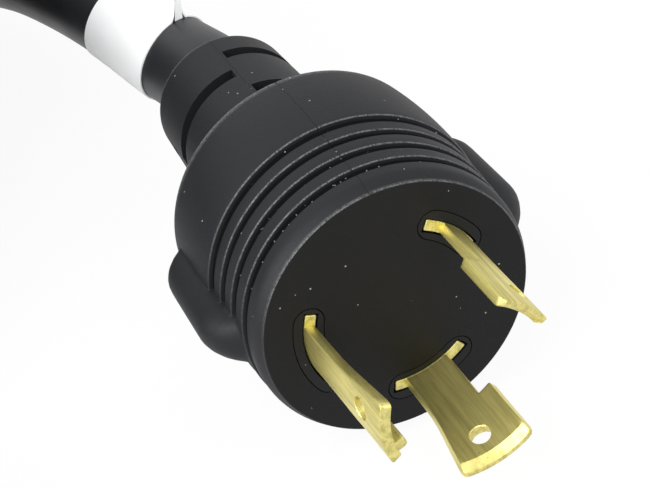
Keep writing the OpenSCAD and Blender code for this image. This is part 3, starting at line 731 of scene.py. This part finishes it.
def moulded_nylon():
    """Glass-filled black nylon: satin, darker than the rubber, with a fine grain and specks of dust."""
    f = Finish("carrier_nylon")
    where = f.place()
    grain = f.noise(where, 4200, 2)
    cloud = f.noise(where, 120)
    dust = f.specks(where, 420, 0.05, 0.2)
    plain = f.mix(cloud, (0.0045, 0.0047, 0.005), (0.0065, 0.0067, 0.007))
    return f.surface({
        "Base Color": f.mix(dust, plain, (0.12, 0.12, 0.11)),
        "Roughness": 0.44 + 0.15 * cloud + 0.1 * dust,
        "Specular IOR Level": 0.2,
    }, 0.012 * grain, 0.8)


def plain_plastic(name, colour, pale, rough):
    """Extruded or cast plastic: one colour with a faint paler cloud in it and a fine grain."""
    f = Finish(name)
    where = f.place()
    cloud = f.noise(where, 150)
    grain = f.noise(where, 2500, 2)
    sockets = {"Base Color": f.mix(cloud, colour, pale), "Roughness": rough + 0.1 * cloud}
    return f.surface(sockets, 0.01 * grain, 0.8)


def stranded_copper():
    """Bare copper strands that lie along the conductor."""
    f = Finish("copper")
    strands = f.noise(f.place((400, 5200, 5200)), 1, 2)
    return f.surface({
        "Base Color": f.mix(strands, (0.62, 0.27, 0.13), (0.86, 0.46, 0.27)),
        "Metallic": 1.0,
        "Roughness": 0.24 + 0.2 * strands,
    }, 0.06 * strands)


def twisted_filler():
    """Twisted plant fibre: matt straw colours in streaks."""
    f = Finish("filler")
    lay = f.noise(f.place((900, 3600, 3600)), 1, 3)
    return f.surface({
        "Base Color": f.mix(lay, (0.4, 0.3, 0.17), (0.62, 0.52, 0.34)),
        "Roughness": 0.85 + 0.1 * lay,
    }, 0.12 * lay)


def dress(finish, *names):
    """Gives their finish to nodes that keep their shape."""
    for name in names:
        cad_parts[name].material_slots[0].material = finish


nylon = moulded_nylon()
first_shot = plain_plastic("first_shot", (0.05, 0.05, 0.055), (0.075, 0.075, 0.08), 0.5)
insulation = {
    "x": plain_plastic("insulation_black", (0.015, 0.015, 0.016), (0.022, 0.022, 0.023), 0.35),
    "y": plain_plastic("insulation_red", (0.42, 0.02, 0.015), (0.5, 0.03, 0.02), 0.35),
    "earth": plain_plastic("insulation_green", (0.02, 0.2, 0.05), (0.025, 0.25, 0.06), 0.35),
}
copper = stranded_copper()
filler = twisted_filler()
dress(nylon, "blade_carrier")
for side in ("plug", "connector"):
    dress(first_shot, f"{side}_inner_mould")
    dress(jacket, f"{side}_cord_jacket")
    dress(filler, f"{side}_cord_fillers")
    for wire, finish in insulation.items():
        dress(finish, f"{side}_conductor_{wire}")
        dress(copper, f"{side}_copper_{wire}")

# ---------------------------------------------------------------- blades
# Each blade is stamped from 1.6 mm brass strip, rolled to the circle that all
# three stand on, with a locking hook, a hole and a bevelled tip. A shoulder,
# a tongue and a crimp barrel hold it in the carrier.
BLADE_R = 13.45
BLADE_T = 1.6
LINE_LEN = 21.3
EARTH_LEN = 22.4
EARTH_LEAN = 3
ROOT_DEPTH = 3
HOOK_START = 10
BEVEL_LEN = 1.4
EDGE = 0.22
HOLE_R = 1.6
HOLE_AT = 16.5
HOLE_TURN = 5
SHOULDER_DEPTH = 6
SHOULDER_GROW = 0.06
TONGUE_HALF = 8
TONGUE_FROM, TONGUE_TO = -21, -5
CRIMP_FROM, CRIMP_TO = -22, -13
CRIMP_AT_R = 10.4
CRIMP_IN_R, CRIMP_OUT_R = 1.5, 2.6
# A degree along the blades' circle, and what is measured by it.
ARC = BLADE_R * np.pi / 180
HOOK_OUT = 10 * ARC
FLARE_OUT = 6.5 * ARC
EARTH_BEND = 17.7 * ARC
EARTH_HOOK_IN = 1.5
# A strip that bends only here, past its own edge, is straight.
UNBENT = 99.0


def traced(corners, cuts, spacing):
    """A closed outline with eased corners and its points no more than spacing apart."""
    loop = eased(corners, cuts)
    loop = np.vstack([loop, loop[:1]])
    run = np.r_[0, np.cumsum(np.linalg.norm(np.diff(loop, axis=0), axis=1))]
    at = np.union1d(run[:-1], np.arange(0, run[-1], spacing))
    at = at[np.r_[True, np.diff(at) > 0.03]]
    return np.stack([np.interp(at, run, loop[:, 0]), np.interp(at, run, loop[:, 1])], 1)


def on_strip(blade, across, height, depth, bend_from, lean):
    """A point of the rolled strip. Across is counted along the circle from the neck's middle and depth
    outwards from the strip's middle. Past bend_from the strip turns inwards on a radius of 1 mm and
    runs on towards the axis. Lean turns it about its root, towards the axis."""
    root = np.radians(blade[0])
    base = root + np.minimum(across, bend_from) / BLADE_R
    bend = np.clip(across - bend_from, 0, np.pi / 2)
    rest = np.clip(across - bend_from - np.pi / 2, 0, None)
    outward = BLADE_R - (1 - np.cos(bend)) - rest + depth * np.cos(bend)
    onward = (1 + depth) * np.sin(bend)
    u = outward * np.cos(base) - onward * np.sin(base)
    v = outward * np.sin(base) + onward * np.cos(base)
    reach = u * np.cos(root) + v * np.sin(root) - BLADE_R
    shift = reach * np.cos(lean) - height * np.sin(lean) - reach
    along = height * np.cos(lean) + reach * np.sin(lean)
    return in_place(PLUG_END, along, u + shift * np.cos(root), v + shift * np.sin(root))


def strip(blade, length, hook, hole_turn, bend_from=UNBENT, lean=0.0, nose=1.2, bevel_rise=0.78,
          set_back=0.0):
    """The free part of a blade. Rings run from the hole's edge to the outline on the inner side, round
    the outline's eased edge, back to the hole on the outer side and through it. The inner side rises by
    bevel_rise over the bevel before the tip. With set_back a bent hook ends that far behind the tip."""
    neck = blade[1] * ARC
    corner = [[neck + hook, length]]
    if set_back:
        corner = [
            [neck + hook, length - set_back], [bend_from + 0.3, length - set_back],
            [bend_from + 0.3, length],
        ]
    outline = traced(
        [[-neck, -ROOT_DEPTH], [neck, -ROOT_DEPTH], [neck, HOOK_START], [neck + hook, HOOK_START],
         *corner, [-neck - FLARE_OUT, length], [-neck - FLARE_OUT, length - 1.6], [-neck, 9.2]],
        [0.3, 0.3, 0.2, 0.4, *[nose, 0.3, 0.4][:len(corner)], 0.8, 0.6, 3], 0.55,
    )
    centre = np.array([-hole_turn * ARC, HOLE_AT])
    around = np.roll(outline, -1, 0) - np.roll(outline, 1, 0)
    normal = np.stack([around[:, 1], -around[:, 0]], 1)
    normal /= np.linalg.norm(around, axis=1, keepdims=True)
    to_edge = outline - centre
    to_edge /= np.linalg.norm(to_edge, axis=1, keepdims=True)
    hole, lip = centre + HOLE_R * to_edge, centre + (HOLE_R + 0.12) * to_edge
    inset, near = outline - EDGE * normal, outline - 0.3 * EDGE * normal
    bevel = centre + 0.96 * (inset - centre)
    bevel[:, 1] = np.minimum(bevel[:, 1], length - BEVEL_LEN)
    rise = bevel_rise * np.clip((outline[:, 1] - (length - BEVEL_LEN)) / BEVEL_LEN, 0, 1)
    half = BLADE_T / 2
    shares = (0.1, 0.25, 0.42, 0.6, 0.78, 0.92)
    rows = [(lip, -half)] + [(lip + k * (bevel - lip), -half) for k in shares] + [
        (bevel, -half), (inset, -half + rise), (near, -half + 0.3 * EDGE + rise),
        (outline, np.maximum(-half + EDGE, -half + rise + 0.2)), (outline, half - EDGE),
        (near, half - 0.3 * EDGE), (inset, half),
    ] + [(lip + k * (inset - lip), half) for k in shares[::-1]] + [
        (lip, half), (hole, half - 0.12), (hole, -half + 0.12),
    ]
    flat = np.stack([row for row, _ in rows])
    depth = np.stack([np.broadcast_to(deep, len(outline)) for _, deep in rows])
    return shell(on_strip(blade, flat[..., 0], flat[..., 1], depth, bend_from, lean))


def curved_bar(start, stop, low, high, inner, outer, edge=0.15):
    """A bar along the blades' circle: a rounded section of radius and height, carried from one angle to
    another and drawn in by edge at both ends."""
    section = traced([[inner, low], [outer, low], [outer, high], [inner, high]], [edge] * 4, 1.5)
    middle = np.array([(inner + outer) / 2, (low + high) / 2])
    drawn = 1 - 2 * edge / np.array([outer - inner, high - low])
    angles = np.r_[start, start + 0.3, np.linspace(start + 0.7, stop - 0.7, 16), stop - 0.3, stop]
    share = np.r_[0, 0.7, np.ones(16), 0.7, 0]
    scale = drawn + (1 - drawn) * share[:, None]
    ring = middle + (section - middle) * scale[:, None]
    turn = np.radians(angles)[:, None]
    ends = np.radians([start, stop])
    poles = in_place(PLUG_END, middle[1], middle[0] * np.cos(ends), middle[0] * np.sin(ends))
    across, upward = ring[..., 0] * np.cos(turn), ring[..., 0] * np.sin(turn)
    return shell(in_place(PLUG_END, ring[..., 1], across, upward), poles)


def crimp_barrel(at):
    """A tube round its conductor: a rounded wall section carried round the barrel's own axis."""
    wall = traced([
        [CRIMP_IN_R, CRIMP_FROM], [CRIMP_OUT_R, CRIMP_FROM],
        [CRIMP_OUT_R, CRIMP_TO], [CRIMP_IN_R, CRIMP_TO],
    ], [0.2] * 4, 3)
    t = np.linspace(0, 2 * np.pi, 32, endpoint=False)[:, None]
    root = np.radians(at)
    across = CRIMP_AT_R * np.cos(root) + wall[:, 0] * np.cos(t)
    upward = CRIMP_AT_R * np.sin(root) + wall[:, 0] * np.sin(t)
    return shell(in_place(PLUG_END, np.broadcast_to(wall[:, 1], across.shape), across, upward))


def stamped_brass():
    """Stamped brass: satin, with draw lines along the blade, a soft tarnish and small stains."""
    f = Finish("brass")
    lines = f.noise(f.place((50, 1000, 1000)), 1, 6, 0.75)
    tarnish = f.noise(f.place(), 190, 4)
    stain = f.specks(f.place(), 900, 0.12, 0.12)
    clean = f.mix(tarnish, (0.83, 0.745, 0.3), (0.74, 0.65, 0.22))
    drawn = f.node("ShaderNodeClamp", {}, {"Value": lines * 4.6 - 1.95})
    lined = f.mix(0.62 * drawn, clean, (0.3, 0.27, 0.075))
    return f.surface({
        "Base Color": f.mix(0.5 * stain, lined, (0.22, 0.16, 0.06)),
        "Metallic": 1.0,
        "Roughness": 0.35 + 0.14 * lines + 0.1 * tarnish + 0.15 * stain,
    }, 0.04 * lines + 0.02 * tarnish, 0.8)


brass = stamped_brass()


def whole_blade(name, blade, length, hook, hole_turn, **bent):
    """A blade with its shoulder, tongue and crimp barrel, as one piece."""
    at, half, past, crimp = blade
    inner, outer = BLADE_R - BLADE_T / 2, BLADE_R + BLADE_T / 2
    shoulder = curved_bar(
        at - half - SHOULDER_FLARE, at + half + past, -SHOULDER_DEPTH, -0.08,
        inner - SHOULDER_GROW, outer + SHOULDER_GROW, 0.2,
    )
    tongue = curved_bar(crimp - TONGUE_HALF, crimp + TONGUE_HALF, TONGUE_FROM, TONGUE_TO, inner, outer)
    free = strip(blade, length, hook, hole_turn, **bent)
    made = piece(name, [free, shoulder, tongue, crimp_barrel(crimp)], brass)
    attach(made, "root")
    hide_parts(name)


whole_blade("blade_x", BLADE_X, LINE_LEN, HOOK_OUT, 0)
whole_blade("blade_y", BLADE_Y, LINE_LEN, HOOK_OUT, HOLE_TURN)
earth_hook = EARTH_BEND + np.pi / 2 + EARTH_HOOK_IN - WIDE_HALF * ARC
whole_blade(
    "blade_earth", BLADE_EARTH, EARTH_LEN, earth_hook, HOLE_TURN,
    bend_from=EARTH_BEND, lean=np.radians(EARTH_LEAN), nose=0.7, bevel_rise=0, set_back=2.4,
)

# ---------------------------------------------------------------- connector
# The far end takes a plug of the same kind: the same moulding, longer, round a
# nylon face plate with three curved entries and a carrier with the contacts.
CONNECTOR_BACK = 54
CONNECTOR_END = ((CONNECTOR_X, route[-1, 1] + CONNECTOR_BACK + BOOT_LEN), (0, 1), (1, 0))
CONTACT_BACK = 31
PLATE_R = 18
PLATE_T = 7
connector_face = np.array([
    [-PLATE_T - FIT, PLATE_R + FIT], [-0.15, PLATE_R + FIT], [0, 18.2], [0, 19], [0, 20.16],
])
connector_inside = hollow(
    CONNECTOR_BACK, CONTACT_BACK, [-PLATE_T - 0.1, CARRIER_R + FIT], [-PLATE_T - FIT, 17.6]
)
connector = moulding(
    "connector_moulding", CONNECTOR_END, CONNECTOR_BACK, connector_face, connector_inside, None
)
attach(connector, "root")
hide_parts("connector_overmould")
dress(nylon, "connector_face_plate", "contact_carrier")
dress(brass, "contact_x", "contact_y", "contact_earth")

# ---------------------------------------------------------------- floor, light
# A plain white table top under a wide soft lamp, with white all round. Sizes
# here are in metres and lamps in watts.
FLOOR_HALF = 4
WHITE = (1, 1, 1, 1)
floor_mesh = bpy.data.meshes.new("floor")
corners = [[-FLOOR_HALF, -FLOOR_HALF, 0], [FLOOR_HALF, -FLOOR_HALF, 0]]
corners += [[FLOOR_HALF, FLOOR_HALF, 0], [-FLOOR_HALF, FLOOR_HALF, 0]]
floor_mesh.from_pydata(corners, [], [[0, 1, 2, 3]])
floor = bpy.data.objects.new("floor", floor_mesh)
bpy.context.scene.collection.objects.link(floor)
table_top = Finish("table_top")
seen = sum(
    table_top.node("ShaderNodeLightPath", out=ray)
    for ray in ("Is Camera Ray", "Is Glossy Ray", "Is Transmission Ray")
)
paper = table_top.node("ShaderNodeBsdfDiffuse", {}, {"Color": (0.8, 0.8, 0.8, 1)})
glow = table_top.node("ShaderNodeEmission", {}, {"Color": WHITE, "Strength": 1.0})
table_top.node("ShaderNodeOutputMaterial", {}, {
    "Surface": table_top.node("ShaderNodeMixShader", {}, {0: 0.93 * seen, 1: paper, 2: glow})
})
floor_mesh.materials.append(table_top.material)

world = bpy.data.worlds.new("studio")
bpy.context.scene.world = world
world.use_nodes = True
backdrop = world.node_tree.nodes["Background"]
backdrop.inputs["Color"].default_value = WHITE
rays = world.node_tree.nodes.new("ShaderNodeLightPath")
level = world.node_tree.nodes.new("ShaderNodeMapRange")
world.node_tree.links.new(rays.outputs["Is Diffuse Ray"], level.inputs["Value"])
level.inputs["To Min"].default_value = 1.0
level.inputs["To Max"].default_value = 0.85
world.node_tree.links.new(level.outputs["Result"], backdrop.inputs["Strength"])


def lamp(name, stand, aim, size, power):
    """A square soft lamp at stand, turned to aim."""
    made = bpy.data.objects.new(name, bpy.data.lights.new(name, "AREA"))
    made.data.size = size
    made.data.energy = power
    made.matrix_world = facing(stand, np.subtract(aim, stand))
    bpy.context.scene.collection.objects.link(made)


lamp("key", (0.4, -0.65, 0.8), (0, 0, 0.02), 0.9, 12)
lamp("fill", (0.5, 0.75, 0.7), (0, 0, 0.02), 0.9, 3.5)
lamp("side", (0.04, -0.55, 0.24), (-0.02, 0, 0.02), 0.3, 2.5)
